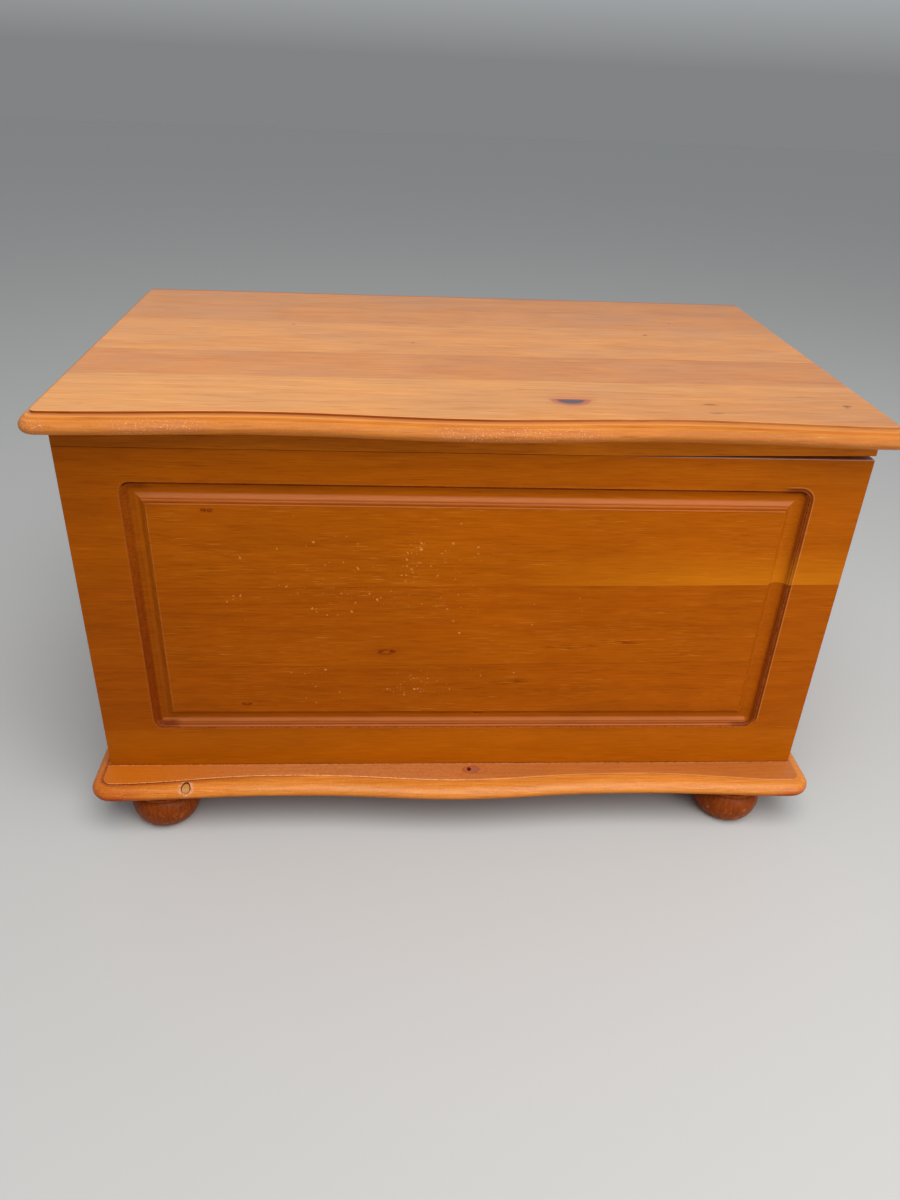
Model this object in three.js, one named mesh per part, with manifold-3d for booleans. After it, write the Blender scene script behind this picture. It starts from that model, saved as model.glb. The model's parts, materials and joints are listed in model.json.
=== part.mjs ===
// Blanket chest: a pine box on a moulded base board with four turned bun feet. The lid is a
// moulded board on a frame of rails, hung on two butt hinges and held open by a slotted stay.
// Millimetres, +Z up, front towards -Y, origin on the floor below the middle of the chest.
import * as THREE from 'three';
import { mergeVertices } from 'three/addons/utils/BufferGeometryUtils.js';
import Module from 'manifold-3d';

const wasm = await Module();
wasm.setup();

// Driving dimensions of the chest
const bodyWidth = 860;
const bodyDepth = 518;
const panelHeight = 416;
const panelThickness = 20;
const glueGap = 0.3;
const cutOverrun = 1;

// Lid board and its moulded edge
const lidThickness = 22;
const lidSideOverhang = 7;
const lidFrontOverhang = 10;
const lidCrest = 10.4;
const lidCornerRadius = 6;
const lidStep = 3;
const lidFillet = 2;
const lidFrontReach = 20;
const lidSideReach = 10;
const lidCrestPower = 1;

// Frame of rails under the lid. The front rail's lower edge climbs towards its right end.
const railHeight = 22.2;
const railThickness = 20;
const railRise = 4.5;
const railRiseStart = 150;

// Base board and its moulded edge, which swells more at the corners than at the middle
const baseThickness = 22;
const baseSideOverhang = 3;
const baseFrontOverhang = 21;
const baseMiddleCrest = 10.3;
const baseCornerCrest = 13.5;
const baseCornerRadius = 12;
const baseStep = 1.2;
const baseFillet = 1.5;
const baseHollowReach = 21.5;
const baseMiddleReach = 20;
const baseCornerReach = 14;
const baseSideReach = 14;
const baseCrestPower = 1.3;

// Both mouldings fall this little over their fillet, so that it sheds water
const filletFall = 0.2;

// Wooden plug let into the moulded edge of the base
const plugRadius = 4.6;
const plugDepth = 11;
const plugFromSide = 98;
const plugDropShare = 0.19;
const plugReachShare = 0.71;
const plugTiltDegrees = 20;

// Groove routed round the front panel by a bit run along a rectangle
const grooveWidth = 24.5;
const grooveFromSide = 60;
const grooveFromTop = 37.5;
const grooveFromBottom = 57;
const grooveStep = 1.2;
const grooveFillet = 1.7;
const grooveCoveDepth = 5.4;

// Glue blocks in the four inside corners
const blockSide = 24;
const blockChamfer = 9;
const blockBelowRim = 40;

// Turned bun feet, each held by a bolt up its middle
const footHeight = 48;
const footRadius = 42;
const footSoleRadius = 25;
const footBellyHeight = 27;
const footShoulderRadius = 30;
const footNeckRadius = 34;
const footNeckHeight = 1.6;
const footCollarRadius = 37;
const footCollarHeight = 4.4;
const footFromLeft = 64;
const footFromRight = 76;
const footFrontInset = -4;
const footBackInset = 48;
const boltRadius = 4;
const boltInFoot = 34;
const boltInBase = 14;

// Butt hinges: leaves let into the back panel and the back rail
const hingeFromSide = 160;
const hingeLength = 76;
const leafDepth = 17;
const leafThickness = 2.2;
const barrelRadius = 4.5;
const knuckleCount = 5;
const knuckleGap = 0.4;
const pinRadius = 2.25;
const pinClearance = 0.25;
const pinHeadRadius = 3.4;
const pinHeadLength = 1.6;
const screwHoleCount = 3;
const screwHoleSpacing = 27;

// Countersunk screw holes of the hinges and of the stay's brackets
const screwHoleRadius = 2.1;
const screwHeadRadius = 3.5;

// Slotted stay on the right: a stud on the side panel runs in the slot of an arm hung on the lid
const stayFromHinge = 150;
const studBelowDegrees = 40;
const lidOpenDegrees = 95;
const stayArmWidth = 16;
const stayArmThickness = 2;
const bracketThickness = 2;
const bracketHeight = 18;
const bracketLength = 46;
const bracketScrewInset = 7;
const stayHeadRadius = 6.5;
const stayHeadThickness = 2;
const studRadius = 3;
const studClearance = 0.3;

// Rounds and how finely they are cut
const frontSteps = 48;
const cornerSteps = 8;
const noseSteps = 10;
const coveSteps = 10;
const turningSides = 32;
const grooveCornerSides = 32;
const bellySteps = 7;
const shoulderSteps = 4;
const barrelSides = 20;
const smallSides = 16;

// Levels, counted up from the floor
const baseBottom = footHeight + glueGap;
const baseTop = baseBottom + baseThickness;
const panelBottom = baseTop + glueGap;
const panelTop = panelBottom + panelHeight;
const railBottom = panelTop + glueGap;
const railTop = railBottom + railHeight;
const lidBottom = railTop + glueGap;
const lidTop = lidBottom + lidThickness;

// Faces of the box, in a frame whose Y is zero at the front panel's face
const halfWidth = bodyWidth / 2;
const insideX = halfWidth - panelThickness;
const insideFrontY = panelThickness;
const insideBackY = bodyDepth - panelThickness;
const hingeY = bodyDepth + glueGap + barrelRadius;
const hingeZ = panelTop + glueGap / 2;

// Materials
const colours = {
  pine: '#b4661f',
  pineFrame: '#a85a18',
  pineInside: '#c98746',
  turnedPine: '#8a4516',
  plugWood: '#d9a06a',
  brass: '#b08d4a',
  steel: '#8f9296',
};

function woodMaterial(colour) {
  return new THREE.MeshStandardMaterial({ color: colour, roughness: 0.45, metalness: 0 });
}

function metalMaterial(colour) {
  return new THREE.MeshStandardMaterial({ color: colour, roughness: 0.35, metalness: 1 });
}

// Solids: geometry to manifold and back
function toSolid(geometry) {
  const bare = geometry.clone();
  bare.deleteAttribute('normal');
  bare.deleteAttribute('uv');
  const merged = mergeVertices(bare);
  const vertProperties = Float32Array.from(merged.attributes.position.array);
  const triVerts = Uint32Array.from(merged.index.array);
  return new wasm.Manifold(new wasm.Mesh({ numProp: 3, vertProperties, triVerts }));
}

function toGeometry(solid) {
  const mesh = solid.getMesh();
  const geometry = new THREE.BufferGeometry();
  geometry.setAttribute('position', new THREE.BufferAttribute(Float32Array.from(mesh.vertProperties), 3));
  geometry.setIndex(Array.from(mesh.triVerts));
  return geometry;
}

function joined(...geometries) {
  return toGeometry(geometries.map(toSolid).reduce((sum, next) => sum.add(next)));
}

function cut(geometry, ...tools) {
  return toGeometry(tools.map(toSolid).reduce((left, tool) => left.subtract(tool), toSolid(geometry)));
}

function shared(geometry, other) {
  return toGeometry(toSolid(geometry).intersect(toSolid(other)));
}

// Shapes used by several pieces
function boxBetween([x0, x1], [y0, y1], [z0, z1]) {
  const box = new THREE.BoxGeometry(x1 - x0, y1 - y0, z1 - z0);
  return box.translate((x0 + x1) / 2, (y0 + y1) / 2, (z0 + z1) / 2);
}

function rodAlongX(radius, [x0, x1], y, z, sides) {
  const rod = new THREE.CylinderGeometry(radius, radius, x1 - x0, sides);
  return rod.rotateZ(Math.PI / 2).translate((x0 + x1) / 2, y, z);
}

function rodAlongZ(radius, x, y, [z0, z1], sides) {
  const rod = new THREE.CylinderGeometry(radius, radius, z1 - z0, sides);
  return rod.rotateX(Math.PI / 2).translate(x, y, (z0 + z1) / 2);
}

// Moulded board: its top outline is straight at the sides and back and runs in a serpentine
// along the front, forward at the corners and the middle. The edge is a step, a fillet and a nose.
function serpentine(x, edge) {
  const span = 2 * (edge.halfWidth - edge.cornerRadius);
  const wave = Math.cos((4 * Math.PI * x) / span);
  const height = ((1 + wave) / 2) ** edge.crestPower;
  const nearMiddle = Math.abs(x) < span / 4;
  const crest = nearMiddle ? edge.middleCrest : edge.cornerCrest;
  const crestReach = nearMiddle ? edge.middleReach : edge.cornerReach;
  return {
    y: -(edge.frontOverhang + crest * height),
    reach: edge.hollowReach + (crestReach - edge.hollowReach) * height,
  };
}

function edgeStations(edge) {
  const straight = edge.halfWidth - edge.cornerRadius;
  const cornerY = serpentine(straight, edge).y + edge.cornerRadius;
  const atSide = (side, y) => ({ x: side * edge.halfWidth, y, out: [side, 0], reach: edge.sideReach });
  const roundCorner = (side, from) => Array.from({ length: cornerSteps - 1 }, (_, number) => {
    const angle = from + (Math.PI / 2) * ((number + 1) / cornerSteps);
    const out = [Math.cos(angle), Math.sin(angle)];
    return {
      x: side * straight + edge.cornerRadius * out[0],
      y: cornerY + edge.cornerRadius * out[1],
      out,
      reach: edge.sideReach + (edge.cornerReach - edge.sideReach) * out[1] ** 2,
    };
  });
  const front = Array.from({ length: frontSteps + 1 }, (_, number) => {
    const x = straight * (2 * (number / frontSteps) - 1);
    const { y, reach } = serpentine(x, edge);
    const nudge = straight / frontSteps;
    const slope = (serpentine(x + nudge, edge).y - serpentine(x - nudge, edge).y) / (2 * nudge);
    const length = Math.hypot(slope, 1);
    return { x, y, out: [slope / length, -1 / length], reach };
  });
  return [
    atSide(-1, bodyDepth),
    atSide(-1, cornerY),
    ...roundCorner(-1, Math.PI),
    ...front,
    ...roundCorner(1, -Math.PI / 2),
    atSide(1, cornerY),
    atSide(1, bodyDepth),
  ];
}

function edgeProfile(edge, reach) {
  const noseTop = -edge.step - filletFall;
  const noseHeight = (edge.thickness + noseTop) / 2;
  const points = [[0, 0], [0, -edge.step]];
  for (let step = 0; step <= noseSteps; step += 1) {
    const angle = Math.PI / 2 - Math.PI * (step / noseSteps);
    const out = edge.fillet + (reach - edge.fillet) * Math.cos(angle);
    points.push([out, noseTop - noseHeight * (1 - Math.sin(angle))]);
  }
  return points;
}

function mouldedBoard(edge, top) {
  const stations = edgeStations(edge);
  const rows = stations.map(({ x, y, out, reach }) =>
    edgeProfile(edge, reach).map(([far, drop]) => [x + out[0] * far, y + out[1] * far, top + drop]));
  const across = rows[0].length;
  const at = (row, column) => (row % rows.length) * across + column;
  const index = [];
  rows.forEach((row, i) => {
    for (let j = 0; j < across - 1; j += 1) {
      index.push(at(i, j), at(i, j + 1), at(i + 1, j + 1), at(i, j), at(i + 1, j + 1), at(i + 1, j));
    }
  });
  const face = (column, flip) => {
    const outline = rows.map((row) => new THREE.Vector2(row[column][0], row[column][1]));
    THREE.ShapeUtils.triangulateShape(outline, []).forEach(([a, b, c]) => {
      const order = flip ? [a, c, b] : [a, b, c];
      index.push(...order.map((row) => at(row, column)));
    });
  };
  face(0, false);
  face(across - 1, true);
  const geometry = new THREE.BufferGeometry();
  geometry.setAttribute('position', new THREE.Float32BufferAttribute(rows.flat(2), 3));
  geometry.setIndex(index);
  return geometry;
}

const lidEdge = {
  thickness: lidThickness,
  halfWidth: halfWidth + lidSideOverhang,
  cornerRadius: lidCornerRadius,
  frontOverhang: lidFrontOverhang,
  middleCrest: lidCrest,
  cornerCrest: lidCrest,
  crestPower: lidCrestPower,
  step: lidStep,
  fillet: lidFillet,
  hollowReach: lidFrontReach,
  middleReach: lidFrontReach,
  cornerReach: lidFrontReach,
  sideReach: lidSideReach,
};

const baseEdge = {
  thickness: baseThickness,
  halfWidth: halfWidth + baseSideOverhang,
  cornerRadius: baseCornerRadius,
  frontOverhang: baseFrontOverhang,
  middleCrest: baseMiddleCrest,
  cornerCrest: baseCornerCrest,
  crestPower: baseCrestPower,
  step: baseStep,
  fillet: baseFillet,
  hollowReach: baseHollowReach,
  middleReach: baseMiddleReach,
  cornerReach: baseCornerReach,
  sideReach: baseSideReach,
};

// The base board's foot places, left and right of the middle, front and back
const leftFootX = footFromLeft - halfWidth;
const rightFootX = halfWidth - footFromRight;
const footPlaces = [
  { name: 'front_left', x: leftFootX, y: footFrontInset },
  { name: 'front_right', x: rightFootX, y: footFrontInset },
  { name: 'back_left', x: leftFootX, y: bodyDepth - footBackInset },
  { name: 'back_right', x: rightFootX, y: bodyDepth - footBackInset },
];

// Base board with the bolt holes and the socket of its plug
const plugX = plugFromSide - halfWidth;
const plugZ = baseTop - baseThickness * plugDropShare;
const plugEdge = serpentine(plugX, baseEdge);
const plugY = plugEdge.y - plugEdge.reach * plugReachShare;
const wholeBase = mouldedBoard(baseEdge, baseTop);

function plugRod(radius, inwards) {
  const outwards = plugEdge.reach;
  const rod = new THREE.CylinderGeometry(radius, radius, inwards + outwards, smallSides);
  rod.translate(0, (outwards - inwards) / 2, 0);
  return rod.rotateX(Math.PI - THREE.MathUtils.degToRad(plugTiltDegrees)).translate(plugX, plugY, plugZ);
}

function baseBoard() {
  const holes = footPlaces.map(({ x, y }) => rodAlongZ(
    boltRadius + glueGap, x, y, [baseBottom - cutOverrun, baseBottom + boltInBase + glueGap], smallSides));
  return cut(wholeBase, ...holes, plugRod(plugRadius + glueGap, plugDepth + glueGap));
}

function basePlug() {
  return shared(wholeBase, plugRod(plugRadius, plugDepth));
}

// Bun foot, turned: sole, belly, shoulder, neck and collar, with a bolt hole from above
function footProfile() {
  const points = [[0, 0]];
  const bellyWidth = footRadius - footSoleRadius;
  for (let step = 0; step <= bellySteps; step += 1) {
    const angle = (Math.PI / 2) * (step / bellySteps);
    points.push([
      footSoleRadius + bellyWidth * Math.sin(angle),
      footBellyHeight * (1 - Math.cos(angle)),
    ]);
  }
  const shoulderWidth = footRadius - footShoulderRadius;
  const neckAngle = Math.acos((footNeckRadius - footShoulderRadius) / shoulderWidth);
  const neckTop = footHeight - footCollarHeight;
  const shoulderHeight = neckTop - footNeckHeight - footBellyHeight;
  for (let step = 1; step <= shoulderSteps; step += 1) {
    const angle = neckAngle * (step / shoulderSteps);
    points.push([
      footShoulderRadius + shoulderWidth * Math.cos(angle),
      footBellyHeight + shoulderHeight * (Math.sin(angle) / Math.sin(neckAngle)),
    ]);
  }
  points.push([footNeckRadius, neckTop], [footCollarRadius, neckTop], [footCollarRadius, footHeight]);
  points.push([0, footHeight]);
  return points.map(([radius, height]) => new THREE.Vector2(radius, height));
}

function foot() {
  const turned = new THREE.LatheGeometry(footProfile(), turningSides).rotateX(Math.PI / 2);
  const holeSpan = [footHeight - boltInFoot - glueGap, footHeight + cutOverrun];
  return cut(turned, rodAlongZ(boltRadius + glueGap, 0, 0, holeSpan, smallSides));
}

function footBolt() {
  return rodAlongZ(boltRadius, 0, 0, [footHeight - boltInFoot, baseBottom + boltInBase], smallSides);
}

// Front panel: the router's bit leaves a step, a fillet and a cove on both sides of its path,
// a round outer corner of its own radius and a sharp inner one
function grooveSection() {
  const half = grooveWidth / 2;
  const coveHalf = half - grooveFillet;
  const coveRadius = (coveHalf ** 2 + grooveCoveDepth ** 2) / (2 * grooveCoveDepth);
  const coveAngle = Math.asin(coveHalf / coveRadius);
  const coveCentre = grooveStep + grooveCoveDepth - coveRadius;
  const side = [[half, -cutOverrun], [half, grooveStep]];
  for (let step = 0; step <= coveSteps; step += 1) {
    const angle = coveAngle * (1 - step / coveSteps);
    side.push([coveRadius * Math.sin(angle), coveCentre + coveRadius * Math.cos(angle)]);
  }
  return side;
}

function grooveRun(length) {
  const side = grooveSection();
  const otherSide = side.slice(0, -1).reverse().map(([across, depth]) => [-across, depth]);
  const outline = [...side, ...otherSide].map(([across, depth]) => new THREE.Vector2(across, depth));
  const run = new THREE.ExtrudeGeometry(new THREE.Shape(outline), { depth: length, bevelEnabled: false });
  return run.translate(0, 0, -length / 2);
}

function grooveCorner() {
  const outline = [[0, -cutOverrun], ...grooveSection()];
  const profile = outline.map(([radius, depth]) => new THREE.Vector2(radius, depth));
  return new THREE.LatheGeometry(profile, grooveCornerSides);
}

function frontPanel() {
  const left = -halfWidth + grooveFromSide + grooveWidth / 2;
  const right = -left;
  const low = panelBottom + grooveFromBottom + grooveWidth / 2;
  const high = panelTop - grooveFromTop - grooveWidth / 2;
  const middle = (low + high) / 2;
  const upright = (x) => grooveRun(high - low).translate(x, 0, middle);
  const level = (z) => grooveRun(right - left).rotateY(Math.PI / 2).translate(0, 0, z);
  const corners = [[left, low], [right, low], [left, high], [right, high]];
  const panel = boxBetween([-halfWidth, halfWidth], [0, panelThickness], [panelBottom, panelTop]);
  return cut(
    panel,
    upright(left),
    upright(right),
    level(low),
    level(high),
    ...corners.map(([x, z]) => grooveCorner().translate(x, 0, z)),
  );
}

// Recess for a hinge leaf, open to the back
const hingeX = halfWidth - hingeFromSide;
const hingePlaces = [{ name: 'left', x: -hingeX }, { name: 'right', x: hingeX }];

function leafRecess(x, span) {
  const half = hingeLength / 2 + glueGap;
  return boxBetween([x - half, x + half], [bodyDepth - leafDepth - glueGap, bodyDepth + cutOverrun], span);
}

function backPanel() {
  const panel = boxBetween([-halfWidth, halfWidth], [insideBackY, bodyDepth], [panelBottom, panelTop]);
  const span = [panelTop - leafThickness - glueGap, panelTop + cutOverrun];
  return cut(panel, ...hingePlaces.map(({ x }) => leafRecess(x, span)));
}

function sidePanel(side) {
  const faces = [side * insideX, side * halfWidth].sort((a, b) => a - b);
  return boxBetween(faces, [insideFrontY + glueGap, insideBackY - glueGap], [panelBottom, panelTop]);
}

// Glue block for an inside corner, its free edge chamfered
function cornerBlock(sideX, sideY) {
  const outline = [
    [0, 0],
    [blockSide, 0],
    [blockSide, blockSide - blockChamfer],
    [blockSide - blockChamfer, blockSide],
    [0, blockSide],
  ].map(([x, y]) => new THREE.Vector2(-sideX * x, -sideY * y));
  const ordered = THREE.ShapeUtils.isClockWise(outline) ? outline.reverse() : outline;
  const height = panelHeight - blockBelowRim;
  const block = new THREE.ExtrudeGeometry(new THREE.Shape(ordered), { depth: height, bevelEnabled: false });
  const cornerY = sideY < 0 ? insideFrontY : insideBackY;
  return block.translate(sideX * (insideX - glueGap), cornerY - sideY * glueGap, panelBottom);
}

// Rails under the lid, flush with the box below
function uprightPlate(outline, [from, to]) {
  const shape = new THREE.Shape(outline.map(([along, height]) => new THREE.Vector2(along, height)));
  return new THREE.ExtrudeGeometry(shape, { depth: to - from, bevelEnabled: false }).translate(0, 0, from);
}

function frontRail() {
  const outline = [
    [-halfWidth, railBottom],
    [railRiseStart, railBottom],
    [halfWidth, railBottom + railRise],
    [halfWidth, railTop],
    [-halfWidth, railTop],
  ];
  return uprightPlate(outline, [-railThickness, 0]).rotateX(Math.PI / 2);
}

function backRail() {
  const inner = bodyDepth - railThickness;
  const rail = boxBetween([-halfWidth, halfWidth], [inner, bodyDepth], [railBottom, railTop]);
  const span = [railBottom - cutOverrun, railBottom + leafThickness + glueGap];
  return cut(rail, ...hingePlaces.map(({ x }) => leafRecess(x, span)));
}

function sideRail(side, frontRise) {
  const front = railThickness + glueGap;
  const back = bodyDepth - railThickness - glueGap;
  const outline = [
    [front, railBottom + frontRise],
    [back, railBottom],
    [back, railTop],
    [front, railTop],
  ];
  const faces = [side * (halfWidth - railThickness), side * halfWidth].sort((a, b) => a - b);
  return uprightPlate(outline, faces).rotateX(Math.PI / 2).rotateZ(Math.PI / 2);
}

// Countersunk hole up +Y through a plate whose visible face is at zero
function screwHole(plateThickness) {
  const sinkDepth = screwHeadRadius - screwHoleRadius;
  const profile = [
    [0, -cutOverrun],
    [screwHeadRadius + cutOverrun, -cutOverrun],
    [screwHoleRadius, sinkDepth],
    [screwHoleRadius, plateThickness + cutOverrun],
    [0, plateThickness + cutOverrun],
  ].map(([radius, height]) => new THREE.Vector2(radius, height));
  return new THREE.LatheGeometry(profile, smallSides);
}

// Butt hinge: each leaf carries every other knuckle of the barrel
const knuckleLength = (hingeLength - knuckleGap * (knuckleCount - 1)) / knuckleCount;

function knuckleSpan(number) {
  const start = -hingeLength / 2 + number * (knuckleLength + knuckleGap);
  return [start, start + knuckleLength];
}

function hingeLeaf(upward, firstKnuckle) {
  const near = glueGap / 2;
  const far = near + leafThickness;
  const span = upward > 0 ? [near, far] : [-far, -near];
  const leafFront = -(hingeY - bodyDepth) - leafDepth;
  const leafEdge = -barrelRadius - knuckleGap;
  const pieces = [boxBetween([-hingeLength / 2, hingeLength / 2], [leafFront, leafEdge], span)];
  for (let number = firstKnuckle; number < knuckleCount; number += 2) {
    const ends = knuckleSpan(number);
    pieces.push(boxBetween(ends, [leafEdge - knuckleGap, 0], span));
    pieces.push(rodAlongX(barrelRadius, ends, 0, 0, barrelSides));
  }
  const reach = hingeLength / 2 + cutOverrun;
  const bore = rodAlongX(pinRadius + pinClearance, [-reach, reach], 0, 0, barrelSides);
  const holeY = (leafFront + leafEdge) / 2;
  const holes = Array.from({ length: screwHoleCount }, (_, number) => {
    const holeX = (number - (screwHoleCount - 1) / 2) * screwHoleSpacing;
    return screwHole(leafThickness).rotateX(upward * Math.PI / 2).translate(holeX, holeY, upward * near);
  });
  return cut(joined(...pieces), bore, ...holes);
}

function hingePin() {
  const half = hingeLength / 2 + glueGap;
  const heads = [-1, 1].map((side) => {
    const ends = [side * half, side * (half + pinHeadLength)].sort((a, b) => a - b);
    return rodAlongX(pinHeadRadius, ends, 0, 0, barrelSides);
  });
  const shank = rodAlongX(pinRadius, [-half - pinHeadLength, half + pinHeadLength], 0, 0, barrelSides);
  return joined(shank, ...heads);
}

// Lid stay. The stud lies as far from the hinge axis as the arm's pivot does, so the arm turns
// half as far as the lid does and the stud never leaves the line of the slot.
const pivotZ = (railBottom + railTop) / 2;
const pivotY = hingeY - stayFromHinge;
const pivotSwing = Math.hypot(stayFromHinge, pivotZ - hingeZ);
const pivotAngle = Math.atan2(pivotZ - hingeZ, stayFromHinge);
const studAngle = THREE.MathUtils.degToRad(studBelowDegrees);
const studY = hingeY - pivotSwing * Math.cos(studAngle);
const studZ = hingeZ - pivotSwing * Math.sin(studAngle);
const armLean = Math.atan2(studY - pivotY, pivotZ - studZ);

function pivotToStud(lidDegrees) {
  const between = pivotAngle + studAngle + THREE.MathUtils.degToRad(lidDegrees);
  return 2 * pivotSwing * Math.sin(between / 2);
}

const platesX = insideX - glueGap;
const armOuterX = platesX - bracketThickness - glueGap;
const armInnerX = armOuterX - stayArmThickness;
const headOuterX = armInnerX - glueGap;

function stayBracket(y, z) {
  const halfLength = bracketLength / 2;
  const bracketX = [platesX - bracketThickness, platesX];
  const plate = boxBetween(
    bracketX, [y - halfLength, y + halfLength], [z - bracketHeight / 2, z + bracketHeight / 2]);
  const shankX = [headOuterX - stayHeadThickness / 2, platesX - bracketThickness / 2];
  const shank = rodAlongX(studRadius, shankX, y, z, smallSides);
  const head = rodAlongX(stayHeadRadius, [headOuterX - stayHeadThickness, headOuterX], y, z, barrelSides);
  const holes = [-1, 1].map((side) => {
    const holeY = y + side * (halfLength - bracketScrewInset);
    return screwHole(bracketThickness).rotateZ(-Math.PI / 2).translate(bracketX[0], holeY, z);
  });
  return cut(joined(plate, shank, head), ...holes);
}

function roundEnded(halfLength, radius, centre) {
  const path = new THREE.Path();
  path.absarc(centre + halfLength, 0, radius, -Math.PI / 2, Math.PI / 2);
  path.absarc(centre - halfLength, 0, radius, Math.PI / 2, (3 * Math.PI) / 2);
  path.closePath();
  return path.getPoints(smallSides / 2);
}

function stayArm() {
  const holeRadius = studRadius + studClearance;
  const slotStart = pivotToStud(0);
  const slotEnd = pivotToStud(lidOpenDegrees);
  const slotHalf = (slotEnd - slotStart) / 2;
  const outline = new THREE.Shape(roundEnded(slotEnd / 2, stayArmWidth / 2, slotEnd / 2));
  const slot = new THREE.Path(roundEnded(slotHalf, holeRadius, (slotStart + slotEnd) / 2));
  const eye = new THREE.Path();
  eye.absarc(0, 0, holeRadius, 0, 2 * Math.PI);
  outline.holes.push(slot, eye);
  const arm = new THREE.ExtrudeGeometry(outline, {
    depth: stayArmThickness,
    bevelEnabled: false,
    curveSegments: smallSides / 2,
  });
  return arm.rotateY(Math.PI / 2);
}

// The chest
const chest = new THREE.Group();
const carcass = new THREE.Group();
const lid = new THREE.Group();
chest.add(carcass, lid);

function add(group, name, geometry, material, place = [0, 0, 0]) {
  const mesh = new THREE.Mesh(geometry, material);
  mesh.name = name;
  mesh.position.set(...place);
  group.add(mesh);
  return mesh;
}

add(carcass, 'base_board', baseBoard(), woodMaterial(colours.pine));
add(carcass, 'base_edge_plug', basePlug(), woodMaterial(colours.plugWood));
footPlaces.forEach(({ name, x, y }) => {
  add(carcass, `foot_${name}`, foot(), woodMaterial(colours.turnedPine), [x, y, 0]);
  add(carcass, `foot_bolt_${name}`, footBolt(), metalMaterial(colours.steel), [x, y, 0]);
});
add(carcass, 'front_panel', frontPanel(), woodMaterial(colours.pine));
add(carcass, 'back_panel', backPanel(), woodMaterial(colours.pine));
add(carcass, 'left_side', sidePanel(-1), woodMaterial(colours.pine));
add(carcass, 'right_side', sidePanel(1), woodMaterial(colours.pine));
add(carcass, 'corner_block_front_left', cornerBlock(-1, -1), woodMaterial(colours.pineInside));
add(carcass, 'corner_block_front_right', cornerBlock(1, -1), woodMaterial(colours.pineInside));
add(carcass, 'corner_block_back_left', cornerBlock(-1, 1), woodMaterial(colours.pineInside));
add(carcass, 'corner_block_back_right', cornerBlock(1, 1), woodMaterial(colours.pineInside));

add(lid, 'lid_board', mouldedBoard(lidEdge, lidTop), woodMaterial(colours.pine));
add(lid, 'lid_rail_front', frontRail(), woodMaterial(colours.pineFrame));
add(lid, 'lid_rail_back', backRail(), woodMaterial(colours.pineFrame));
add(lid, 'lid_rail_left', sideRail(-1, 0), woodMaterial(colours.pineFrame));
add(lid, 'lid_rail_right', sideRail(1, railRise), woodMaterial(colours.pineFrame));

hingePlaces.forEach(({ name, x }) => {
  const place = [x, hingeY, hingeZ];
  add(carcass, `hinge_${name}_box_leaf`, hingeLeaf(-1, 0), metalMaterial(colours.brass), place);
  add(carcass, `hinge_${name}_pin`, hingePin(), metalMaterial(colours.steel), place);
  add(lid, `hinge_${name}_lid_leaf`, hingeLeaf(1, 1), metalMaterial(colours.brass), place);
});

add(carcass, 'stay_box_bracket', stayBracket(studY, studZ), metalMaterial(colours.brass));
add(lid, 'stay_lid_bracket', stayBracket(pivotY, pivotZ), metalMaterial(colours.brass));
const arm = add(lid, 'stay_arm', stayArm(), metalMaterial(colours.brass), [armInnerX, pivotY, pivotZ]);
arm.rotation.x = armLean;

// The origin is below the middle of the whole chest, from the base's nose to the hinge barrels
const frontmostY = -(baseFrontOverhang + baseMiddleCrest + baseMiddleReach);
const backmostY = hingeY + barrelRadius;
chest.position.y = -(frontmostY + backmostY) / 2;

export default chest;
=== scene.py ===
"""Looks of a stained pine blanket chest: moulded boards, a routed panel, bun feet and brass fittings."""
import json
import math
import random

import bmesh
import bpy
from mathutils import Matrix, Vector

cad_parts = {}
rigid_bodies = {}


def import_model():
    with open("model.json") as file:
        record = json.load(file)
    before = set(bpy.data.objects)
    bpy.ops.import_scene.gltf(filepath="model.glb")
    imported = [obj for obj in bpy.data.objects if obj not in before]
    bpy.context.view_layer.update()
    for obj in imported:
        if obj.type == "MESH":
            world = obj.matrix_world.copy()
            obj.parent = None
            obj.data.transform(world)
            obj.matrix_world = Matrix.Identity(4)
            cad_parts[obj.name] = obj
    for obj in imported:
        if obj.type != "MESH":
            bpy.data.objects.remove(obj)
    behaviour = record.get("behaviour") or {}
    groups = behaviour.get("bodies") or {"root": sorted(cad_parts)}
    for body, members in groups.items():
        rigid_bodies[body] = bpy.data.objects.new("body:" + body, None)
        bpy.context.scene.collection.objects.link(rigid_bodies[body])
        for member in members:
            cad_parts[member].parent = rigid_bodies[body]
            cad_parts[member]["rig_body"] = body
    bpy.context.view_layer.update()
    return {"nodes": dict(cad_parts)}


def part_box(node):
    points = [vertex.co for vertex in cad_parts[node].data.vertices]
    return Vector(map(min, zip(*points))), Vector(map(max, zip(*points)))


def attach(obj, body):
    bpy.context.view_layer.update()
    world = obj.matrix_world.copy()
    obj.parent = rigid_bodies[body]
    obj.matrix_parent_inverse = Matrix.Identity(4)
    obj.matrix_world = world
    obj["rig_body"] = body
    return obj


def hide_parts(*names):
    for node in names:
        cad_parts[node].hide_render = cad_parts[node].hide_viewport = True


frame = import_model()

MM = 0.001
SMOOTH_ANGLE = math.radians(35)

# Places taken from the solids, in millimetres
FRONT_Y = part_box("front_panel")[0].y / MM
BACK_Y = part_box("back_panel")[1].y / MM
HALF_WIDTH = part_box("front_panel")[1].x / MM
PANEL_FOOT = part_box("front_panel")[0].z / MM
PANEL_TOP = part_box("front_panel")[1].z / MM
BASE_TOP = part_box("base_board")[1].z / MM
LID_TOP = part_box("lid_board")[1].z / MM

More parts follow.
